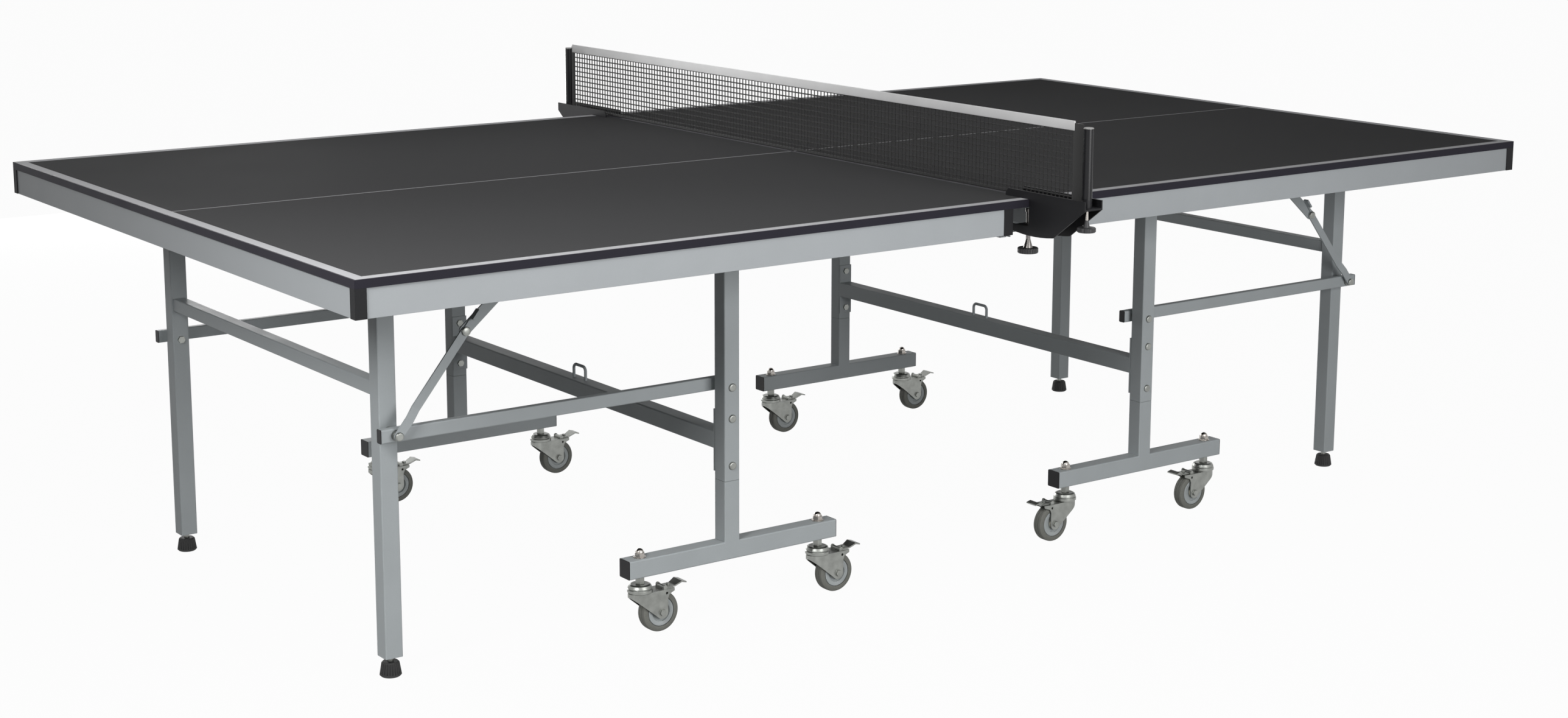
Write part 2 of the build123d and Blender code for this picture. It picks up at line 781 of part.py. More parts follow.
def wheel():
    """Caster wheel: grooved tyre, hub ring, recess and boss, axis along Y through the axle."""
    half = wheel_width / 2
    groove = wheel_radius - tread_groove_depth
    bore = axle_radius + bore_clearance
    profile = [
        (bore, -half - fork_gap / 2),
        (hub_boss_radius, -half - fork_gap / 2),
        (hub_boss_radius, -half + hub_recess),
        (hub_recess_radius, -half + hub_recess),
        (hub_recess_radius, -half),
        (wheel_radius - tyre_round, -half),
        (wheel_radius, -half + tyre_round),
        (wheel_radius, -tread_groove_width * 2),
        (groove, -tread_groove_width * 1.5),
        (wheel_radius, -tread_groove_width),
    ]
    mirrored = [(r, -y) for r, y in reversed(profile)]
    body = turned(profile + mirrored, 0, 0)
    for z in (-half, half):
        line = Pos(0, 0, z) * (
            Cylinder(hub_ring_radius + hub_line / 2, hub_line)
            - Cylinder(hub_ring_radius - hub_line / 2, hub_line * 2)
        )
        body -= line
    return Pos(caster_trail, 0, wheel_radius) * Rot(90, 0, 0) * body


def pedal():
    """Brake pedal with an upturned tip, pivoting over the wheel in the fork's slot."""
    x0 = caster_trail + pedal_pivot_run
    start = x0 - bolt_radius + side_gap
    z0 = fork_crown + side_gap
    knee = x0 + pedal_flat
    crest = knee + pedal_slope
    tip = crest + pedal_tip
    under = [
        (start, z0),
        (knee, z0),
        (crest, z0 + pedal_rise),
        (tip, z0 + pedal_rise - pedal_tip_drop),
    ]
    over = [(x, z + pedal_thickness) for x, z in reversed(under)]
    plate = plate_xz(under + over, -pedal_tip_half_width, pedal_tip_half_width)
    arm = pedal_half_width
    plan = [(start, -arm), (knee, -arm), (crest, -pedal_tip_half_width), (tip, -pedal_tip_half_width)]
    plan += [(x, -y) for x, y in reversed(plan)]
    plate &= extrude(make_face(Polyline(*plan, close=True)), z0 + pedal_rise * 3)
    shoe = block(x0, knee, -arm / 2, arm / 2, z0 - fork_plate, z0)
    barrel = rod_y(x0, z0 + pedal_pivot_rise, -arm, arm, pedal_pivot_rise)
    screw_base = z0 + pedal_thickness
    screw_x = x0 + pedal_flat * 0.6
    screw = hexagon(screw_x, 0, screw_base, screw_base + pedal_screw_height, pedal_screw_radius)
    body = plate + shoe + barrel + screw
    return body - rod_y(x0, z0 + pedal_pivot_rise, -arm - 1, arm + 1, pedal_pin_radius + bore_clearance)


def casters():
    """All casters by node name. They trail towards +X, but on the near right foot towards -X."""
    shapes = {"fork": fork(), "wheel": wheel(), "pedal": pedal()}
    outer_x, inner_x = caster_places()
    pieces = {}
    for side, sign in (("left", 1), ("right", -1)):
        for row, y in (("near", -t_leg_y), ("far", t_leg_y)):
            turn = 180 if (side, row) == ("right", "near") else 0
            for place, x in (("outer", outer_x), ("inner", inner_x)):
                for name, shape in shapes.items():
                    key = "_".join((side, row, place, name))
                    pieces[key] = [Pos(sign * x, y, 0) * Rot(0, 0, turn) * shape]
    return pieces


def half_table():
    """Every node of the left half."""
    return {
        "board": board(),
        "edge_moulding": edge_moulding(),
        "apron": apron(),
        "corner_caps": corner_caps(),
        "hinge_brackets": hinge_brackets(),
        "t_frame": t_frame(),
        "feet": feet(),
        "frame_hardware": frame_hardware(),
        "links": links(),
        "end_frame": end_frame(),
        "leg_bolts": leg_bolts(),
        "near_leveler": [leveler()],
        "far_leveler": [flip_y(leveler())],
        "brace_lower": [brace_lower()],
        "brace_upper": [brace_upper()],
    }


def clamp_belly():
    """Points of the clamp plate's curved lower edge, from its tail to the jaw's tip."""
    length = belly_end + jaw_reach
    lowest = jaw_height - jaw_thickness
    points = []
    for step in range(belly_steps + 1):
        out = belly_end - length * step / belly_steps
        rise = belly_sag * ((out - belly_out) / (jaw_reach + belly_out)) ** 2
        points.append((-half_width - out, lowest + rise))
    return points


def clamp_bracket():
    """Near-side net clamp: two C-shaped side plates, nut plate, web and post shelf."""
    edge = half_width + throat_gap
    arm_tip = half_width - clamp_arm_reach
    arm_top = table_height + clamp_arm_height
    jaw_tip = half_width - jaw_reach
    tail = half_width + clamp_tail
    outline = [
        (-arm_tip, table_height),
        (-arm_tip, table_height + clamp_nose),
        (-arm_tip - clamp_nose, arm_top),
        (-tail, arm_top),
        (-tail, table_height - clamp_tail_drop),
        *clamp_belly(),
        (-jaw_tip, jaw_height),
        (throat_chamfer - edge, jaw_height),
        (-edge, jaw_height + throat_chamfer),
        (-edge, table_height),
    ]
    outer = clamp_half_width + clamp_plate
    body = plate_yz(outline, -outer, -clamp_half_width) + plate_yz(outline, clamp_half_width, outer)
    nut_tip = half_width - jaw_nut_reach
    nut_under = jaw_height - jaw_nut_height
    body += block(-clamp_half_width, clamp_half_width, -edge, -nut_tip, nut_under, jaw_height)
    body += block(
        -clamp_half_width, clamp_half_width, -edge - clamp_plate, -edge, nut_under, table_height
    )
    shelf_under = table_height - clamp_shelf
    shelf_in = post_y - post_radius * 2
    body += block(
        -clamp_half_width, clamp_half_width, -tail, -shelf_in, shelf_under, table_height
    )
    body -= rod_z(
        0, -clamp_screw_y, nut_under - 1, jaw_height + 1, clamp_screw_radius + bore_clearance
    )
    body -= rod_z(
        0, -post_y, shelf_under - 1, table_height + 1, post_screw_radius + bore_clearance
    )
    return body


def net_post():
    """Near-side net post: a capped tube standing on the clamp's shelf."""
    top = tape_top - post_top_drop
    post = rod_z(0, -post_y, table_height, top, post_radius)
    post -= rod_z(0, -post_y, table_height, top - post_wall, post_radius - post_wall)
    return fillet(post.faces().sort_by(Axis.Z)[-1].edges(), post_wall * 0.8)


def net():
    """Net with side bands as one holed sheet, and its top tape."""
    mesh_top = tape_top - tape_height
    z0 = table_height + net_lift
    band_end = post_y - post_radius - side_gap
    sheet = Rectangle(band_end * 2, mesh_top - z0)
    pitch_y = net_half_span * 2 / net_columns
    pitch_z = (mesh_top - z0 - net_cord) / net_rows
    with_gaps = GridLocations(pitch_y, pitch_z, net_columns, net_rows)
    gap = Rectangle(pitch_y - net_cord, pitch_z - net_cord)
    sheet -= with_gaps * gap
    middle = (mesh_top + z0) / 2
    face_plane = Plane(origin=(-net_thickness / 2, 0, middle), x_dir=(0, 1, 0), z_dir=(1, 0, 0))
    mesh = extrude(face_plane * sheet, net_thickness)
    half = tape_thickness / 2
    tape = block(-half, half, -band_end, band_end, mesh_top, tape_top)
    return [mesh, tape]


def clamp_screw():
    """Near-side clamp screw: pad, shank, cone and knurled knob."""
    pad_top = board_under - clamp_screw_ease
    knob_top = clamp_knob_base + clamp_knob_height
    outline = [
        (0, clamp_knob_base),
        (clamp_knob_radius - flute_radius, clamp_knob_base),
        (clamp_knob_radius, clamp_knob_base + flute_radius),
        (clamp_knob_radius, knob_top - flute_radius),
        (clamp_knob_radius - flute_radius, knob_top),
        (knob_cone_radius, knob_top),
        (clamp_screw_radius, knob_top + knob_cone_height),
        (clamp_screw_radius, pad_top - clamp_pad_height),
        (clamp_pad_radius, pad_top - clamp_pad_height),
        (clamp_pad_radius, pad_top),
        (0, pad_top),
    ]
    screw = turned(outline, 0, -clamp_screw_y)
    flutes = PolarLocations(clamp_knob_radius, knob_flutes)
    cutter = Cylinder(flute_radius, clamp_knob_height * 2)
    for place in flutes:
        screw -= Pos(0, -clamp_screw_y, clamp_knob_base) * place * cutter
    return screw


def post_screw():
    """Near-side screw under the post with its round knob."""
    knob_top = post_knob_base + post_knob_height
    shank_top = table_height + post_screw_rise
    outline = [
        (0, post_knob_base),
        (post_knob_radius - flute_radius, post_knob_base),
        (post_knob_radius, post_knob_base + flute_radius),
        (post_knob_radius, knob_top - flute_radius),
        (post_knob_radius - flute_radius, knob_top),
        (post_screw_radius * 2, knob_top),
        (post_screw_radius, knob_top + post_cone_height),
        (post_screw_radius, shank_top),
        (0, shank_top),
    ]
    screw = turned(outline, 0, -post_y)
    cutter = Cylinder(flute_radius * 2, post_knob_height * 2)
    for place in PolarLocations(post_knob_radius + flute_radius, post_knob_lobes):
        screw -= Pos(0, -post_y, post_knob_base) * place * cutter
    return screw


def net_set():
    """Every node of the net set."""
    return {
        "net_clamps": both_sides(clamp_bracket()) + both_sides(net_post()),
        "net": net(),
        "near_clamp_screw": [clamp_screw()],
        "far_clamp_screw": [flip_y(clamp_screw())],
        "near_post_screw": [post_screw()],
        "far_post_screw": [flip_y(post_screw())],
    }


def write_node(name, solids):
    """Write one node as a STEP file."""
    shape = solids[0] if len(solids) == 1 else Compound(children=solids)
    export_step(shape, os.path.join("parts", name + ".step"))


def main():
    """Build both halves and the net set and write every node."""
    os.makedirs("parts", exist_ok=True)
    for name, solids in half_table().items():
        write_node("left_" + name, solids)
        write_node("right_" + name, [mirror(solid, about=Plane.YZ) for solid in solids])
    for name, solids in (casters() | net_set()).items():
        write_node(name, solids)


main()
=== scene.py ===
"""Studio scene of a rollaway table-tennis table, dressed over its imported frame.

Lengths are metres in the frame's own axes: +X along the table, +Y across it, +Z up.
"""

import logging
import math
from dataclasses import dataclass
from enum import Enum
from typing import Sequence

import bpy
from mathutils import Euler, Matrix, Vector


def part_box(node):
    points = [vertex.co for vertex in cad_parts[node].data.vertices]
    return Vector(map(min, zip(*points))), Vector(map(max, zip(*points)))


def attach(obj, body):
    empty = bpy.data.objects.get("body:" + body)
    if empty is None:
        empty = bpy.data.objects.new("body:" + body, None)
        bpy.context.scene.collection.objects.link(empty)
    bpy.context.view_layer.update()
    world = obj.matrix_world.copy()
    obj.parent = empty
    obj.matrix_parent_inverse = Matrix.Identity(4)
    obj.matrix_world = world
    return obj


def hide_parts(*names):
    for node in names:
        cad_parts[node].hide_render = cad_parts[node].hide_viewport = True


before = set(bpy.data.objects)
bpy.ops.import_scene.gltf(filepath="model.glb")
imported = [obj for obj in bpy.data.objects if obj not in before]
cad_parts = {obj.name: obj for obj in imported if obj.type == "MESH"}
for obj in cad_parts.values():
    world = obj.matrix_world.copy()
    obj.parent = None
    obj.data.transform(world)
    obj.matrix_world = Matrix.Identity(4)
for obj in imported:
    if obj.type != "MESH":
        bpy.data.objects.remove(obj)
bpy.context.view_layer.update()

log = logging.getLogger("table_scene")

Point = tuple[float, float, float]
Colour = tuple[float, float, float]
Span = tuple[float, float]
Profile = tuple[tuple[float, float], ...]
Piece = bpy.types.Object
Material = bpy.types.Material
Tree = bpy.types.NodeTree
Node = bpy.types.Node
Socket = bpy.types.NodeSocket

SIDES = ("left", "right")
CASTER_PLACES = ("near_outer", "near_inner", "far_outer", "far_inner")

# Playing surface and its lines.
TABLE_HALF_LENGTH = 1.370
TABLE_HALF_WIDTH = 0.7625
TABLE_TOP = 0.760
BORDER_INSET = 0.023
CENTRE_LINE_HALF = 0.0016
PAINT_SKIN = 0.0005

# Open ends of a colour zone, past every piece.
BEFORE = -1.0
BEYOND = 2.0

# Grain, relief and edges that all finishes share.
MOTTLE_DETAIL = 4.0
GRAIN_DETAIL = 2.0
MOTTLE_STOPS: Span = (0.3, 0.7)
GRAIN_STOPS: Span = (0.35, 0.65)
MOTTLE_GRAIN_MIX = 0.5
LOWEST_ROUGHNESS = 0.02
RELIEF_DEPTH = 0.0006
EDGE_ROUND = 0.0008
EDGE_SAMPLES = 4

# Mesh making.
BLOCK_SMOOTH = math.radians(40)
LATHE_SMOOTH = math.radians(35)
BEVEL_STEPS = 3
WELD_DISTANCE = 1e-5


class Along(Enum):
    """Axis of the shared frame that a colour zone is measured along."""

    X = (1.0, 0.0, 0.0)
    Z = (0.0, 0.0, 1.0)


class Slot(Enum):
    """Material slots of the record; the script only uses them to tell the tyre from the other wheel pieces.
    """

    TYRE = "tyre"
    PLASTIC = "black_plastic"
    NET = "net"
    ZINC = "zinc"


@dataclass(frozen=True)
class Finish:
    """Look of one surface: base colour, gloss and fine relief."""

    name: str
    colour: Colour
    roughness: float
    metallic: float = 0.0
    mottle: float = 0.08
    mottle_scale: float = 14.0
    grain_scale: float = 900.0
    grain: float = 0.05
    rough_spread: float = 0.08
    bump: float = 0.08
    specular: float = 0.5
    sheen: float = 0.0

    def shades(self, spread: float) -> list[Colour]:
        """Darker and lighter version of the base colour.

        Args:
            spread: Share by which they differ from it.

        Returns:
            The two colours.
        """
        return [tuple(min(1.0, c * k) for c in self.colour) for k in (1 - spread, 1 + spread)]


@dataclass(frozen=True)
class Zone:
    """Part of a node with a finish of its own, between two limits along one axis."""

    finish: Finish
    along: Along
    low: float
    high: float
    mirrored: bool = False


@dataclass(frozen=True)
class Lamp:
    """Square soft lamp: its place and target, side length, power and beam in degrees."""

    name: str
    place: Point
    target: Point
    size: float
    watts: float
    spread: float


BOARD_PAINT = Finish(
    "board_paint", (0.080, 0.080, 0.082), 0.62, mottle=0.05, mottle_scale=3.0,
    grain_scale=2600.0, grain=0.30, bump=0.10, specular=0.001,
)
LINE_PAINT = Finish("line_paint", (0.540, 0.543, 0.558), 0.65, grain_scale=2600.0, bump=0.08, specular=0.1)
MOULDING = Finish("moulding", (0.027, 0.0255, 0.0345), 0.48, bump=0.05, specular=0.06)
APRON_PAINT = Finish(
    "apron_paint", (0.408, 0.432, 0.448), 0.46, mottle=0.04,
    grain_scale=1500.0, grain=0.05, bump=0.08, specular=0.35,
)
FRAME_PAINT = Finish(
    "frame_paint", (0.428, 0.460, 0.472), 0.48, mottle=0.05,
    grain_scale=1500.0, grain=0.07, bump=0.10, specular=0.20,
)
CAP_PLASTIC = Finish(
    "cap_plastic", (0.018, 0.018, 0.0195), 0.62, grain_scale=1800.0, grain=0.25, bump=0.25, specular=0.16
)
PLUG_PLASTIC = Finish("plug_plastic", (0.0105, 0.0105, 0.012), 0.55, bump=0.10, specular=0.25)
ZINC = Finish(
    "zinc", (0.270, 0.278, 0.262), 0.36, metallic=1.0, mottle=0.28, mottle_scale=60.0,
    grain_scale=1200.0, grain=0.14, rough_spread=0.16, bump=0.05,
)
NICKEL = Finish(
    "nickel", (0.400, 0.375, 0.350), 0.20, metallic=1.0, mottle=0.10, rough_spread=0.10, bump=0.02
)
SCREW_STEEL = Finish(
    "screw_steel", (0.190, 0.180, 0.172), 0.24, metallic=1.0, mottle=0.12, rough_spread=0.10, bump=0.02
)
BLACK_METAL = Finish(
    "black_metal", (0.0105, 0.0105, 0.012), 0.46, mottle=0.06, grain_scale=1400.0, bump=0.06, specular=0.22
)
POST_METAL = Finish("post_metal", (0.009, 0.009, 0.0105), 0.26, bump=0.02, specular=0.30)
POST_CAP = Finish("post_cap", (0.300, 0.300, 0.294), 0.40)
KNOB_PLASTIC = Finish("knob_plastic", (0.018, 0.018, 0.0195), 0.46, grain=0.10, bump=0.10)
FOOT_RUBBER = Finish("foot_rubber", (0.018, 0.018, 0.018), 0.70, grain_scale=700.0, grain=0.2, bump=0.2)
TYRE_RUBBER = Finish(
    "tyre_rubber", (0.168, 0.171, 0.153), 0.72, mottle=0.12, grain_scale=700.0, grain=0.15, bump=0.18
)
HUB_PLASTIC = Finish("hub_plastic", (0.405, 0.435, 0.438), 0.48, mottle=0.06, bump=0.06, specular=0.4)
HUB_BOSS = Finish("hub_boss", (0.780, 0.735, 0.600), 0.50, bump=0.05)
NET_CORD = Finish(
    "net_cord", (0.015, 0.015, 0.015), 0.85, grain_scale=2400.0, grain=0.35, bump=0.4, sheen=0.2
)
NET_BAND = Finish(
    "net_band", (0.018, 0.018, 0.018), 0.85, grain_scale=1500.0, grain=0.3, bump=0.5, sheen=0.3
)
NET_TAPE = Finish(
    "net_tape", (0.840, 0.840, 0.840), 0.80, grain_scale=1300.0, grain=0.06, bump=0.5, sheen=0.2
)


def math_step(tree: Tree, operation: str, first: Socket, second: Socket | float | None = None) -> Socket:
    """Add a math node.

    Args:
        tree: Node tree to add to.
        operation: Blender's name of the operation.
        first: First input.
        second: Second input, a socket or a plain number.

    Returns:
        The value socket.
    """
    step = tree.nodes.new("ShaderNodeMath")
    step.operation = operation
    tree.links.new(first, step.inputs[0])
    if isinstance(second, float):
        step.inputs[1].default_value = second
    elif second is not None:
        tree.links.new(second, step.inputs[1])
    return step.outputs["Value"]


def lay_over(tree: Tree, mask: Socket, under: Socket, over: Socket) -> Socket:
    """Lay one shader over another by a mask.

    Args:
        tree: Node tree to add to.
        mask: One where the upper shader shows.
        under: Lower shader.
        over: Upper shader.

    Returns:
        The mixed shader socket.
    """
    mix = tree.nodes.new("ShaderNodeMixShader")
    tree.links.new(mask, mix.inputs["Fac"])
    tree.links.new(under, mix.inputs[1])
    tree.links.new(over, mix.inputs[2])
    return mix.outputs["Shader"]


class ShaderGroups:
    """Shared shader node groups, each built once."""

    def __init__(self) -> None:
        """Build the groups."""
        self.grain = self._grain()
        self.band = self._band()
        self.lines = self._lines()

    @staticmethod
    def _new(
        name: str, vectors: Sequence[str], values: Sequence[str], results: Sequence[str]
    ) -> tuple[Tree, Node, Node]:
        """Make an empty group.

        Args:
            name: Group name.
            vectors: Names of the vector inputs.
            values: Names of the number inputs.
            results: Names of the number outputs.

        Returns:
            The group, its input node and its output node.
        """
        group = bpy.data.node_groups.new(name, "ShaderNodeTree")
        for labels, kind, way in (
            (vectors, "NodeSocketVector", "INPUT"),
            (values, "NodeSocketFloat", "INPUT"),
            (results, "NodeSocketFloat", "OUTPUT"),
        ):
            for label in labels:
                group.interface.new_socket(label, in_out=way, socket_type=kind)
        return group, group.nodes.new("NodeGroupInput"), group.nodes.new("NodeGroupOutput")

    def _grain(self) -> Tree:
        """Fine grain and broad mottle, both about one half.

        Returns:
            The node group.
        """
        group, source, sink = self._new(
            "surface_grain", ("Vector",), ("Mottle Scale", "Grain Scale"), ("Mottle", "Grain")
        )
        for label, detail in (("Mottle", MOTTLE_DETAIL), ("Grain", GRAIN_DETAIL)):
            noise = group.nodes.new("ShaderNodeTexNoise")
            noise.inputs["Detail"].default_value = detail
            group.links.new(source.outputs["Vector"], noise.inputs["Vector"])
            group.links.new(source.outputs[f"{label} Scale"], noise.inputs["Scale"])
            group.links.new(noise.outputs["Fac"], sink.inputs[label])
        return group

    def _band(self) -> Tree:
        """One between two limits along a direction, and nought elsewhere.

        Returns:
            The node group.
        """
        group, source, sink = self._new(
            "band_mask", ("Vector", "Direction"), ("Low", "High", "Mirrored"), ("Mask",)
        )
        links = group.links
        reach = group.nodes.new("ShaderNodeVectorMath")
        reach.operation = "DOT_PRODUCT"
        links.new(source.outputs["Vector"], reach.inputs[0])
        links.new(source.outputs["Direction"], reach.inputs[1])
        pick = group.nodes.new("ShaderNodeMix")
        links.new(source.outputs["Mirrored"], pick.inputs["Factor"])
        links.new(reach.outputs["Value"], pick.inputs["A"])
        links.new(math_step(group, "ABSOLUTE", reach.outputs["Value"]), pick.inputs["B"])
        above = math_step(group, "GREATER_THAN", pick.outputs["Result"], source.outputs["Low"])
        below = math_step(group, "LESS_THAN", pick.outputs["Result"], source.outputs["High"])
        links.new(math_step(group, "MULTIPLY", above, below), sink.inputs["Mask"])
        return group

    def _lines(self) -> Tree:
        """Border lines and centre line of the playing surface.

        Returns:
            The node group.
        """
        group, source, sink = self._new(
            "court_lines", ("Vector",), ("Border X", "Border Y", "Centre", "Top"), ("Mask",)
        )
        size = group.nodes.new("ShaderNodeVectorMath")
        size.operation = "ABSOLUTE"
        group.links.new(source.outputs["Vector"], size.inputs[0])
        split = group.nodes.new("ShaderNodeSeparateXYZ")
        group.links.new(size.outputs["Vector"], split.inputs[0])
        end, side, centre, top = (
            math_step(group, operation, split.outputs[axis], source.outputs[limit])
            for axis, limit, operation in (
                ("X", "Border X", "GREATER_THAN"),
                ("Y", "Border Y", "GREATER_THAN"),
                ("Y", "Centre", "LESS_THAN"),
                ("Z", "Top", "GREATER_THAN"),
            )
        )
        border = math_step(group, "MAXIMUM", end, side)
        marks = math_step(group, "MAXIMUM", border, centre)
        group.links.new(math_step(group, "MULTIPLY", marks, top), sink.inputs["Mask"])
        return group


class Paintshop:
    """Builds materials and puts them on nodes and pieces."""

    def __init__(self) -> None:
        """Start with the shared groups and no materials."""
        self.groups = ShaderGroups()
        self.made: dict[str, Material] = {}

    @staticmethod
    def _group(tree: Tree, group: Tree, place: Socket, values: dict[str, float | Point]) -> Node:
        """Place a shared group in a material.

        Args:
            tree: Node tree of the material.
            group: Group to place.
            place: Socket with the object coordinates.
            values: Value of each other input.

        Returns:
            The group's node.
        """
        node = tree.nodes.new("ShaderNodeGroup")
        node.node_tree = group
        for label, value in values.items():
            node.inputs[label].default_value = value
        tree.links.new(place, node.inputs["Vector"])
        return node

    @staticmethod
    def _blend(tree: Tree, factor: Socket, ends: Sequence[Colour], stops: Span) -> Socket:
        """Colour ramp between two colours.

        Args:
            tree: Node tree of the material.
            factor: Socket that drives the ramp.
            ends: First and last colour.
            stops: Where the first and the last colour start.

        Returns:
            The colour socket.
        """
        ramp = tree.nodes.new("ShaderNodeValToRGB")
        for element, colour, stop in zip(ramp.color_ramp.elements, ends, stops):
            element.position = stop
            element.color = (*colour, 1.0)
        tree.links.new(factor, ramp.inputs["Fac"])
        return ramp.outputs["Color"]

    def _surface(self, tree: Tree, finish: Finish, place: Socket) -> Socket:
        """Add one finish to a material.

        Args:
            tree: Node tree of the material.
            finish: Look to add.
            place: Socket with the object coordinates.

        Returns:
            The shader socket.
        """
        nodes, links = tree.nodes, tree.links
        scales = {"Mottle Scale": finish.mottle_scale, "Grain Scale": finish.grain_scale}
        grain = self._group(tree, self.groups.grain, place, scales)
        broad = self._blend(tree, grain.outputs["Mottle"], finish.shades(finish.mottle), MOTTLE_STOPS)
        fine = self._blend(tree, grain.outputs["Grain"], finish.shades(finish.grain), GRAIN_STOPS)
        colour = nodes.new("ShaderNodeMix")
        colour.data_type = "RGBA"
        colour.inputs["Factor"].default_value = MOTTLE_GRAIN_MIX
        links.new(broad, colour.inputs["A"])
        links.new(fine, colour.inputs["B"])
        gloss = nodes.new("ShaderNodeMapRange")
        gloss.inputs["To Min"].default_value = max(LOWEST_ROUGHNESS, finish.roughness - finish.rough_spread)
        gloss.inputs["To Max"].default_value = min(1.0, finish.roughness + finish.rough_spread)
        links.new(grain.outputs["Mottle"], gloss.inputs["Value"])
        edge = nodes.new("ShaderNodeBevel")
        edge.samples = EDGE_SAMPLES
        edge.inputs["Radius"].default_value = EDGE_ROUND
        relief = nodes.new("ShaderNodeBump")
        relief.inputs["Strength"].default_value = finish.bump
        relief.inputs["Distance"].default_value = RELIEF_DEPTH
        links.new(grain.outputs["Grain"], relief.inputs["Height"])
        links.new(edge.outputs["Normal"], relief.inputs["Normal"])
        shader = nodes.new("ShaderNodeBsdfPrincipled")
        shader.inputs["Metallic"].default_value = finish.metallic
        shader.inputs["Specular IOR Level"].default_value = finish.specular
        shader.inputs["Sheen Weight"].default_value = finish.sheen
        links.new(colour.outputs["Result"], shader.inputs["Base Color"])
        links.new(gloss.outputs["Result"], shader.inputs["Roughness"])
        links.new(relief.outputs["Normal"], shader.inputs["Normal"])
        return shader.outputs["BSDF"]

    def _blank(self, name: str) -> tuple[Material, Tree, Socket, Node]:
        """Start a material.

        Args:
            name: Material name.

        Returns:
            The material, its tree, the object coordinate socket and the output node.
        """
        material = bpy.data.materials.new(name)
        material.use_nodes = True
        tree = material.node_tree
        tree.nodes.clear()
        sink = tree.nodes.new("ShaderNodeOutputMaterial")
        place = tree.nodes.new("ShaderNodeTexCoord").outputs["Object"]
        self.made[name] = material
        return material, tree, place, sink

    def material(self, name: str, base: Finish, zones: Sequence[Zone] = ()) -> Material:
        """Make or find a material of one finish with zones of other finishes.

        Args:
            name: Material name.
            base: Finish of the whole surface.
            zones: Parts with finishes of their own, later ones on top.

        Returns:
            The material.
        """
        if name in self.made:
            return self.made[name]
        material, tree, place, sink = self._blank(name)
        shader = self._surface(tree, base, place)
        for zone in zones:
            limits = {
                "Direction": zone.along.value,
                "Low": zone.low,
                "High": zone.high,
                "Mirrored": float(zone.mirrored),
            }
            mask = self._group(tree, self.groups.band, place, limits)
            shader = lay_over(tree, mask.outputs["Mask"], shader, self._surface(tree, zone.finish, place))
        tree.links.new(shader, sink.inputs["Surface"])
        return material

    def court(self) -> Material:
        """Painted playing surface with its white lines.

        Returns:
            The material.
        """
        material, tree, place, sink = self._blank("court")
        limits = {
            "Border X": TABLE_HALF_LENGTH - BORDER_INSET,
            "Border Y": TABLE_HALF_WIDTH - BORDER_INSET,
            "Centre": CENTRE_LINE_HALF,
            "Top": TABLE_TOP - PAINT_SKIN,
        }
        lines = self._group(tree, self.groups.lines, place, limits)
        paint = self._surface(tree, BOARD_PAINT, place)
        white = self._surface(tree, LINE_PAINT, place)
        tree.links.new(lay_over(tree, lines.outputs["Mask"], paint, white), sink.inputs["Surface"])
        return material

    @staticmethod
    def put(piece: Piece, material: Material) -> Piece:
        """Give an object one material.

        Args:
            piece: Object to paint.
            material: Its material.

        Returns:
            The same object.
        """
        piece.data.materials.clear()
        piece.data.materials.append(material)
        return piece


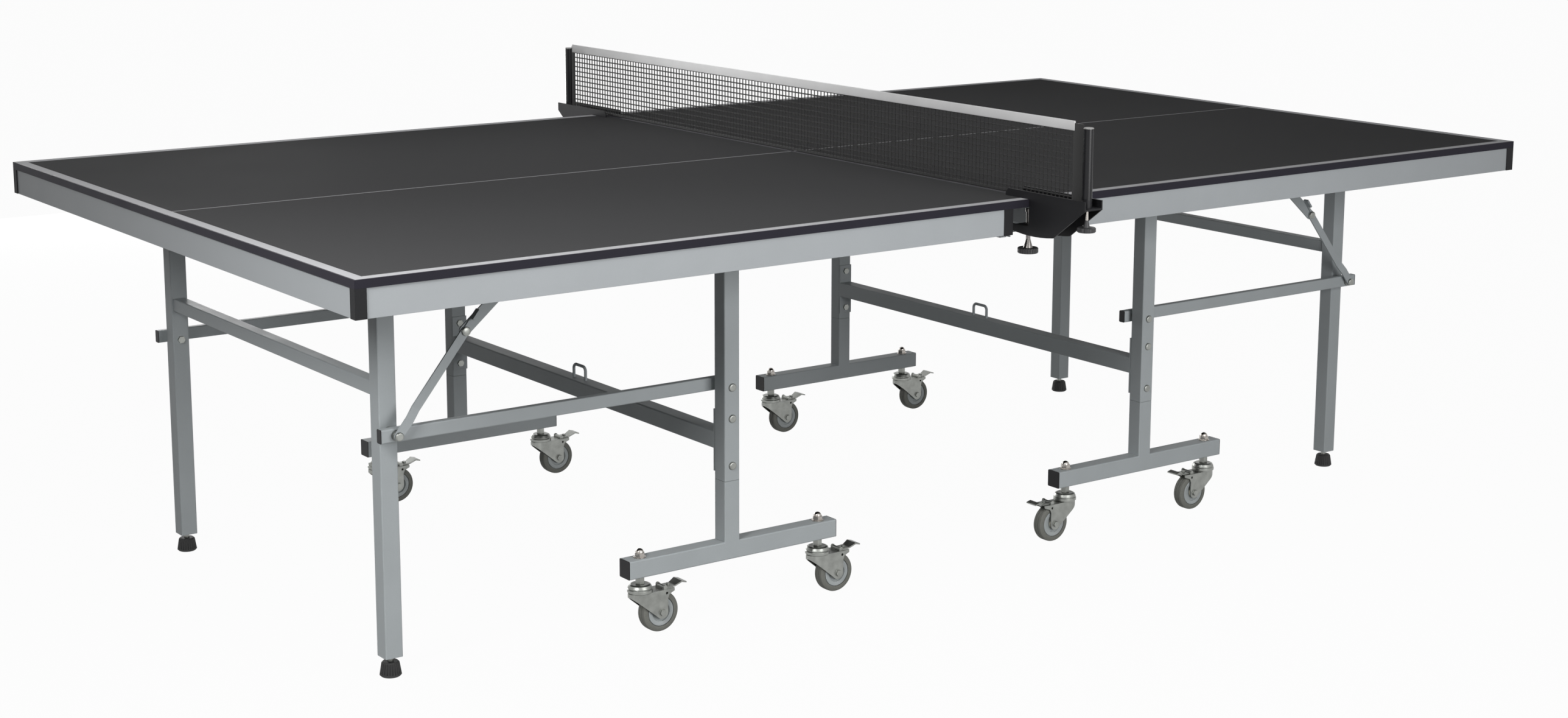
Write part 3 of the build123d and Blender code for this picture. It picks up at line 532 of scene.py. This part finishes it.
class Workshop:
    """Makes new pieces, with every modifier applied and the object at the origin."""

    @staticmethod
    def _apply(piece: Piece) -> Piece:
        """Apply the modifiers and the transform of a piece.

        Args:
            piece: Object to finish.

        Returns:
            The same object.
        """
        bpy.ops.object.select_all(action="DESELECT")
        piece.select_set(True)
        bpy.context.view_layer.objects.active = piece
        for modifier in list(piece.modifiers):
            bpy.ops.object.modifier_apply(modifier=modifier.name)
        bpy.ops.object.transform_apply(location=True, rotation=True, scale=True)
        return piece

    def block(self, name: str, low: Point, high: Point, bevel: float) -> Piece:
        """Box with rounded edges between two corners.

        Args:
            name: Object name.
            low: Lowest corner.
            high: Highest corner.
            bevel: Edge radius.

        Returns:
            The new object.
        """
        bpy.ops.object.select_all(action="DESELECT")
        centre = [(a + b) / 2 for a, b in zip(low, high)]
        bpy.ops.mesh.primitive_cube_add(size=1.0, location=centre)
        piece = bpy.context.object
        piece.name = name
        piece.scale = [b - a for a, b in zip(low, high)]
        bpy.ops.object.transform_apply(location=True, rotation=True, scale=True)
        rounding = piece.modifiers.new("rounding", "BEVEL")
        rounding.width = bevel
        rounding.segments = BEVEL_STEPS
        self._apply(piece)
        bpy.ops.object.shade_smooth_by_angle(angle=BLOCK_SMOOTH)
        return piece

    def lathe(self, name: str, profile: Profile, steps: int) -> Piece:
        """Turned solid about the Y axis through the origin.

        Args:
            name: Object name.
            profile: Radius and place along the axis of each point of the closed outline.
            steps: Facets round the axis.

        Returns:
            The new object.
        """
        bpy.ops.object.select_all(action="DESELECT")
        bpy.ops.mesh.primitive_circle_add(vertices=len(profile), fill_type="NOTHING", calc_uvs=False)
        piece = bpy.context.object
        piece.name = name
        for vertex, (radius, along) in zip(piece.data.vertices, profile):
            vertex.co = (radius, along, 0.0)
        turn = piece.modifiers.new("turn", "SCREW")
        turn.axis = "Y"
        turn.steps = steps
        turn.render_steps = steps
        turn.use_merge_vertices = True
        turn.merge_threshold = WELD_DISTANCE
        turn.use_normal_calculate = True
        self._apply(piece)
        bpy.ops.object.mode_set(mode="EDIT")
        bpy.ops.mesh.select_all(action="SELECT")
        bpy.ops.mesh.normals_make_consistent(inside=False)
        bpy.ops.object.mode_set(mode="OBJECT")
        bpy.ops.object.shade_smooth_by_angle(angle=LATHE_SMOOTH)
        return piece

    @staticmethod
    def moved(piece: Piece, name: str, offset: Point) -> Piece:
        """Copy of a piece with its place in its mesh.

        Args:
            piece: Object to copy.
            name: Name of the copy.
            offset: How far to move it.

        Returns:
            The copy.
        """
        mesh = piece.data.copy()
        mesh.transform(Matrix.Translation(offset))
        copy = bpy.data.objects.new(name, mesh)
        bpy.context.scene.collection.objects.link(copy)
        return copy

    def lattice(self, name: str, cells: tuple[int, int], low: Point, high: Point, cord: float) -> Piece:
        """Square mesh of cords in the plane across the table.

        Args:
            name: Object name.
            cells: Cells across and up.
            low: Lowest corner.
            high: Highest corner.
            cord: Cord thickness.

        Returns:
            The new object.
        """
        bpy.ops.object.select_all(action="DESELECT")
        bpy.ops.mesh.primitive_grid_add(
            x_subdivisions=cells[0], y_subdivisions=cells[1], size=1.0,
            rotation=(math.pi / 2, 0.0, math.pi / 2),
        )
        piece = bpy.context.object
        piece.name = name
        piece.location = [(a + b) / 2 for a, b in zip(low, high)]
        piece.scale = (high[1] - low[1], high[2] - low[2], 1.0)
        bpy.ops.object.transform_apply(location=True, rotation=True, scale=True)
        wires = piece.modifiers.new("wires", "WIREFRAME")
        wires.thickness = cord
        wires.use_replace = True
        wires.use_boundary = True
        wires.use_even_offset = True
        return self._apply(piece)


@dataclass
class Halves:
    """The two folding halves: CAD nodes with their finishes, and the brace rivets' heads."""

    paint: Paintshop
    shop: Workshop
    foot_plugs: Span = (0.2832, 0.7408)
    link_plugs: Span = (0.4932, 1.1968)
    leveler_stud: float = 0.0262
    stem_nuts: Span = (0.1435, 0.2)
    rivet_place: Point = (1.039, -0.4948, 0.594)
    rivet_steps: int = 32
    rivet_profile: Profile = (
        (0.0, 0.0), (0.0079, 0.0), (0.0079, -0.0030), (0.0075, -0.0038), (0.0058, -0.0046),
        (0.0030, -0.0050), (0.0, -0.0051),
    )

    def build(self) -> list[Piece]:
        """Paint every node of both halves and head the brace rivets.

        Returns:
            The nodes and the rivet heads.
        """
        return self._paint() + self._rivets()

    def _plugged(self, name: str, ends: Span) -> Material:
        """Frame paint with a black plug at each end of a bar.

        Args:
            name: Material name.
            ends: Where the inner plug ends and the outer plug starts.

        Returns:
            The material.
        """
        inner, outer = ends
        plugs = (
            Zone(PLUG_PLASTIC, Along.X, outer, BEYOND, True),
            Zone(PLUG_PLASTIC, Along.X, BEFORE, inner, True),
        )
        return self.paint.material(name, FRAME_PAINT, plugs)

    def _paint(self) -> list[Piece]:
        """Paint every node of both halves.

        Returns:
            The nodes.
        """
        material = self.paint.material
        studs = (Zone(ZINC, Along.Z, self.leveler_stud, BEYOND),)
        nuts = (Zone(NICKEL, Along.Z, *self.stem_nuts),)
        by_name = {
            "board": self.paint.court(),
            "edge_moulding": material("moulding", MOULDING),
            "apron": material("apron_paint", APRON_PAINT),
            "corner_caps": material("cap_plastic", CAP_PLASTIC),
            "hinge_brackets": material("zinc", ZINC),
            "t_frame": material("frame_paint", FRAME_PAINT),
            "feet": self._plugged("feet_paint", self.foot_plugs),
            "frame_hardware": material("hardware", ZINC, nuts),
            "links": self._plugged("link_paint", self.link_plugs),
            "end_frame": material("frame_paint", FRAME_PAINT),
            "leg_bolts": material("zinc", ZINC),
            "near_leveler": material("leveler", FOOT_RUBBER, studs),
            "far_leveler": material("leveler", FOOT_RUBBER, studs),
            "brace_lower": material("frame_paint", FRAME_PAINT),
            "brace_upper": material("frame_paint", FRAME_PAINT),
        }
        return [
            self.paint.put(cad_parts[f"{side}_{name}"], finish)
            for side in SIDES
            for name, finish in by_name.items()
        ]

    def _rivets(self) -> list[Piece]:
        """Domed rivet heads at the middle of the braces.

        Returns:
            The two heads.
        """
        pattern = self.shop.lathe("rivet_pattern", self.rivet_profile, self.rivet_steps)
        along, across, up = self.rivet_place
        heads = []
        for side, sign in zip(SIDES, (-1, 1)):
            head = self.shop.moved(pattern, f"{side}_brace_rivet", (sign * along, across, up))
            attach(head, f"{side}_brace_lower")
            heads.append(self.paint.put(head, self.paint.material("zinc", ZINC)))
        bpy.data.objects.remove(pattern)
        return heads


@dataclass
class Casters:
    """Eight swivel casters: CAD forks and pedals, and wheels made here.

    Each profile is one half of a ring about the axle, as radius and distance from the middle.
    """

    paint: Paintshop
    shop: Workshop
    rim_steps: int = 64
    boss_steps: int = 40
    tyre_profile: Profile = (
        (0.0272, 0.0110), (0.0300, 0.0113), (0.0343, 0.0107), (0.0363, 0.0096), (0.0373, 0.0074),
        (0.0375, 0.0042), (0.0365, 0.0037), (0.0365, 0.0029), (0.0375, 0.0024),
    )
    hub_profile: Profile = (
        (0.0090, 0.0079), (0.0172, 0.0076), (0.0182, 0.0106), (0.0188, 0.0110), (0.0255, 0.0110),
        (0.0262, 0.0104), (0.0264, 0.0088), (0.0272, 0.0086),
    )
    boss_profile: Profile = ((0.00425, 0.0121), (0.0080, 0.0121), (0.0090, 0.0114), (0.0094, 0.0070))

    def build(self) -> list[Piece]:
        """Paint the forks and pedals and make the wheels.

        Returns:
            The nodes and the wheels' pieces.
        """
        zinc = self.paint.material("fork_zinc", ZINC)
        patterns = (
            ("tyre", self._ring("tyre", self.tyre_profile, self.rim_steps), Slot.TYRE, TYRE_RUBBER),
            ("hub", self._ring("hub", self.hub_profile, self.rim_steps), Slot.PLASTIC, HUB_PLASTIC),
            ("boss", self._ring("boss", self.boss_profile, self.boss_steps), Slot.PLASTIC, HUB_BOSS),
        )
        pieces = []
        for key in (f"{side}_{place}" for side in SIDES for place in CASTER_PLACES):
            for part in ("fork", "pedal"):
                pieces.append(self.paint.put(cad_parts[f"{key}_{part}"], zinc))
            low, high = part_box(f"{key}_wheel")
            centre = tuple((a + b) / 2 for a, b in zip(low, high))
            for name, pattern, slot, finish in patterns:
                piece = self.shop.moved(pattern, f"{key}_{name}", centre)
                if slot is Slot.TYRE:
                    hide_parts(f"{key}_wheel")
                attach(piece, f"{key}_wheel")
                pieces.append(self.paint.put(piece, self.paint.material(finish.name, finish)))
        for _, pattern, _, _ in patterns:
            bpy.data.objects.remove(pattern)
        return pieces

    def _ring(self, name: str, half: Profile, steps: int) -> Piece:
        """Ring of the wheel, the same on both faces.

        Args:
            name: Name of the ring.
            half: Outline of one half.
            steps: Facets round the axle.

        Returns:
            The pattern object.
        """
        other_half = tuple((radius, -along) for radius, along in reversed(half))
        return self.shop.lathe(f"{name}_pattern", half + other_half, steps)


@dataclass
class NetSet:
    """Net, tape and bands made here, with the CAD clamps and screws."""

    paint: Paintshop
    shop: Workshop
    cells: tuple[int, int] = (155, 12)
    cord: float = 0.0026
    cover: float = 0.64
    near_end: float = -0.854
    far_end: float = 0.868
    bottom: float = 0.764
    tape_bottom: float = 0.8945
    tape_top: float = 0.9125
    tape_half: float = 0.0015
    tape_past_near: float = 0.004
    tape_past_far: float = 0.010
    tape_edge: float = 0.0012
    band_end: float = 0.8806
    band_half: float = 0.001
    band_drop: float = 0.004
    band_edge: float = 0.0007
    hem_half: float = 0.0008
    hem_below: float = 0.001
    hem_above: float = 0.004
    hem_edge: float = 0.0005
    post_foot: float = 0.7745
    post_cap: float = 0.902
    clamp_knob_top: float = 0.6657
    post_knob_top: float = 0.7375

    def build(self) -> list[Piece]:
        """Make the net and paint the clamps and screws.

        Returns:
            The nodes and the net's pieces.
        """
        return self._clamps() + self._net()

    def _clamps(self) -> list[Piece]:
        """Paint the clamps, posts and screws.

        Returns:
            The nodes.
        """
        posts = (
            Zone(POST_METAL, Along.Z, self.post_foot, self.post_cap),
            Zone(POST_CAP, Along.Z, self.post_cap, BEYOND),
        )
        clamp_steel = (Zone(SCREW_STEEL, Along.Z, self.clamp_knob_top, BEYOND),)
        post_steel = (Zone(NICKEL, Along.Z, self.post_knob_top, BEYOND),)
        clamp_metal = self.paint.material("clamp_metal", BLACK_METAL, posts)
        clamp_screw = self.paint.material("clamp_screw", KNOB_PLASTIC, clamp_steel)
        post_screw = self.paint.material("post_screw", KNOB_PLASTIC, post_steel)
        by_name = {
            "net_clamps": clamp_metal,
            "near_clamp_screw": clamp_screw,
            "near_post_screw": post_screw,
            "far_clamp_screw": clamp_screw,
            "far_post_screw": post_screw,
        }
        return [self.paint.put(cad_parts[name], finish) for name, finish in by_name.items()]

    def _net(self) -> list[Piece]:
        """Mesh of the net, with its tape, side bands and hem.

        Returns:
            The net's pieces.
        """
        low, high = (0.0, self.near_end, self.bottom), (0.0, self.far_end, self.tape_bottom)
        mesh = self.shop.lattice("net_mesh", self.cells, low, high, self.cord)
        trims = [self._tape(), *self._bands(), self._hem()]
        for piece in (mesh, *trims):
            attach(piece, "net_set")
        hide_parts("net")
        for piece, finish in zip((mesh, *trims), (NET_CORD, NET_TAPE, NET_BAND, NET_BAND, NET_BAND)):
            self.paint.put(piece, self.paint.material(finish.name, finish))
        return [mesh, *trims]

    def _tape(self) -> Piece:
        """White tape along the top.

        Returns:
            The new object.
        """
        low = (-self.tape_half, self.near_end - self.tape_past_near, self.tape_bottom)
        high = (self.tape_half, self.far_end + self.tape_past_far, self.tape_top)
        return self.shop.block("net_tape", low, high, self.tape_edge)

    def _bands(self) -> list[Piece]:
        """Side bands between the mesh and the posts.

        Returns:
            The near and the far band.
        """
        top = self.tape_top - self.band_drop
        return [
            self.shop.block(
                f"net_band_{name}", (-self.band_half, low, self.bottom), (self.band_half, high, top),
                self.band_edge,
            )
            for name, low, high in (
                ("near", -self.band_end, self.near_end),
                ("far", self.far_end, self.band_end),
            )
        ]

    def _hem(self) -> Piece:
        """Hem along the bottom.

        Returns:
            The new object.
        """
        low = (-self.hem_half, self.near_end, self.bottom - self.hem_below)
        high = (self.hem_half, self.far_end, self.bottom + self.hem_above)
        return self.shop.block("net_hem", low, high, self.hem_edge)


@dataclass
class Studio:
    """Floor, light and camera."""

    floor_size: float = 60.0
    floor_grey: float = 0.22
    floor_glow: float = 1.03
    floor_glow_share: float = 0.94
    sky_light: float = 0.08
    lamps: tuple[Lamp, ...] = (
        Lamp("left", (-3.0, -1.5, 2.0), (-1.37, -0.85, 0.5), 1.0, 8.7, 70.0),
        Lamp("front", (0.0, -3.5, 1.2), (0.0, 0.0, 0.4), 1.6, 55.0, 180.0),
        Lamp("overhead", (-1.2, -1.2, 2.4), (-0.9, -0.4, 0.7), 1.6, 11.0, 150.0),
        Lamp("net", (-3.6, 0.8, 2.1), (0.0, 0.35, 0.90), 0.3, 0.9, 22.0),
        Lamp("back", (0.3, 4.6, 0.5), (0.2, 0.0, 0.42), 1.6, 95.0, 180.0),
    )
    photo_width: float = 2576.0
    focal_pixels: float = 4005.5
    centre_pixel: float = 1319.2
    sensor_width: float = 36.0
    shift_up: float = -0.06
    view_end: float = 100.0
    camera_place: Point = (-2.9596, -4.0555, 1.4573)
    camera_turn: Point = (79.425, -0.215, -36.345)

    def build(self) -> list[Piece]:
        """Set the stage, the light and the camera.

        Returns:
            The floor, the lamps and the camera.
        """
        floor = self._floor()
        self._world()
        return [floor, *(self._lamp(lamp) for lamp in self.lamps), self._camera()]

    @staticmethod
    def _seen(tree: Tree) -> Socket:
        """One for what the camera sees directly, mirrored or through glass.

        Args:
            tree: Node tree to add to.

        Returns:
            The mask socket.
        """
        path = tree.nodes.new("ShaderNodeLightPath")
        seen = path.outputs["Is Camera Ray"]
        for ray in ("Is Glossy Ray", "Is Transmission Ray"):
            seen = math_step(tree, "MAXIMUM", seen, path.outputs[ray])
        return seen

    def _floor(self) -> Piece:
        """Pale floor that shows white to the camera and keeps the shadow.

        Returns:
            The floor.
        """
        bpy.ops.mesh.primitive_plane_add(size=self.floor_size)
        floor = bpy.context.object
        floor.name = "floor"
        material = bpy.data.materials.new("floor")
        material.use_nodes = True
        tree = material.node_tree
        tree.nodes.clear()
        ground = tree.nodes.new("ShaderNodeBsdfDiffuse")
        ground.inputs["Color"].default_value = (*[self.floor_grey] * 3, 1.0)
        glow = tree.nodes.new("ShaderNodeEmission")
        glow.inputs["Strength"].default_value = self.floor_glow
        share = math_step(tree, "MULTIPLY", self._seen(tree), self.floor_glow_share)
        surface = lay_over(tree, share, ground.outputs["BSDF"], glow.outputs["Emission"])
        sink = tree.nodes.new("ShaderNodeOutputMaterial")
        tree.links.new(surface, sink.inputs["Surface"])
        floor.data.materials.append(material)
        return floor

    def _world(self) -> None:
        """White for the camera and reflections, softer as light."""
        world = bpy.data.worlds.new("studio")
        bpy.context.scene.world = world
        world.use_nodes = True
        tree = world.node_tree
        sky = tree.nodes["Background"]
        white = tree.nodes.new("ShaderNodeBackground")
        for backdrop, strength in ((sky, self.sky_light), (white, 1.0)):
            backdrop.inputs["Color"].default_value = (1.0, 1.0, 1.0, 1.0)
            backdrop.inputs["Strength"].default_value = strength
        surface = lay_over(tree, self._seen(tree), sky.outputs["Background"], white.outputs["Background"])
        tree.links.new(surface, tree.nodes["World Output"].inputs["Surface"])

    @staticmethod
    def _lamp(lamp: Lamp) -> Piece:
        """Set up one lamp.

        Args:
            lamp: Its place and light.

        Returns:
            The lamp object.
        """
        data = bpy.data.lights.new(lamp.name, "AREA")
        data.spread = math.radians(lamp.spread)
        data.size = lamp.size
        data.energy = lamp.watts
        light = bpy.data.objects.new(lamp.name, data)
        bpy.context.scene.collection.objects.link(light)
        light.visible_camera = False
        light.location = lamp.place
        aim = Vector(lamp.target) - Vector(lamp.place)
        light.rotation_euler = aim.to_track_quat("-Z", "Y").to_euler()
        return light

    def _camera(self) -> Piece:
        """Camera fitted to the photograph.

        Returns:
            The camera object.
        """
        data = bpy.data.cameras.new("camera")
        data.sensor_width = self.sensor_width
        data.lens = self.sensor_width * self.focal_pixels / self.photo_width
        data.shift_x = (self.photo_width / 2 - self.centre_pixel) / self.photo_width
        data.shift_y = self.shift_up
        data.clip_end = self.view_end
        camera = bpy.data.objects.new("camera", data)
        bpy.context.scene.collection.objects.link(camera)
        camera.location = self.camera_place
        camera.rotation_euler = Euler([math.radians(a) for a in self.camera_turn])
        bpy.context.scene.camera = camera
        return camera


def main() -> None:
    """Dress the frame, set the studio and report each piece."""
    logging.basicConfig(level=logging.INFO)
    bpy.context.scene.view_settings.view_transform = "Standard"
    paint, shop = Paintshop(), Workshop()
    for assembly in (Halves(paint, shop), Casters(paint, shop), NetSet(paint, shop), Studio()):
        for piece in assembly.build():
            log.info("%s: %s", type(assembly).__name__, piece.name)


if __name__ == "__main__":
    main()
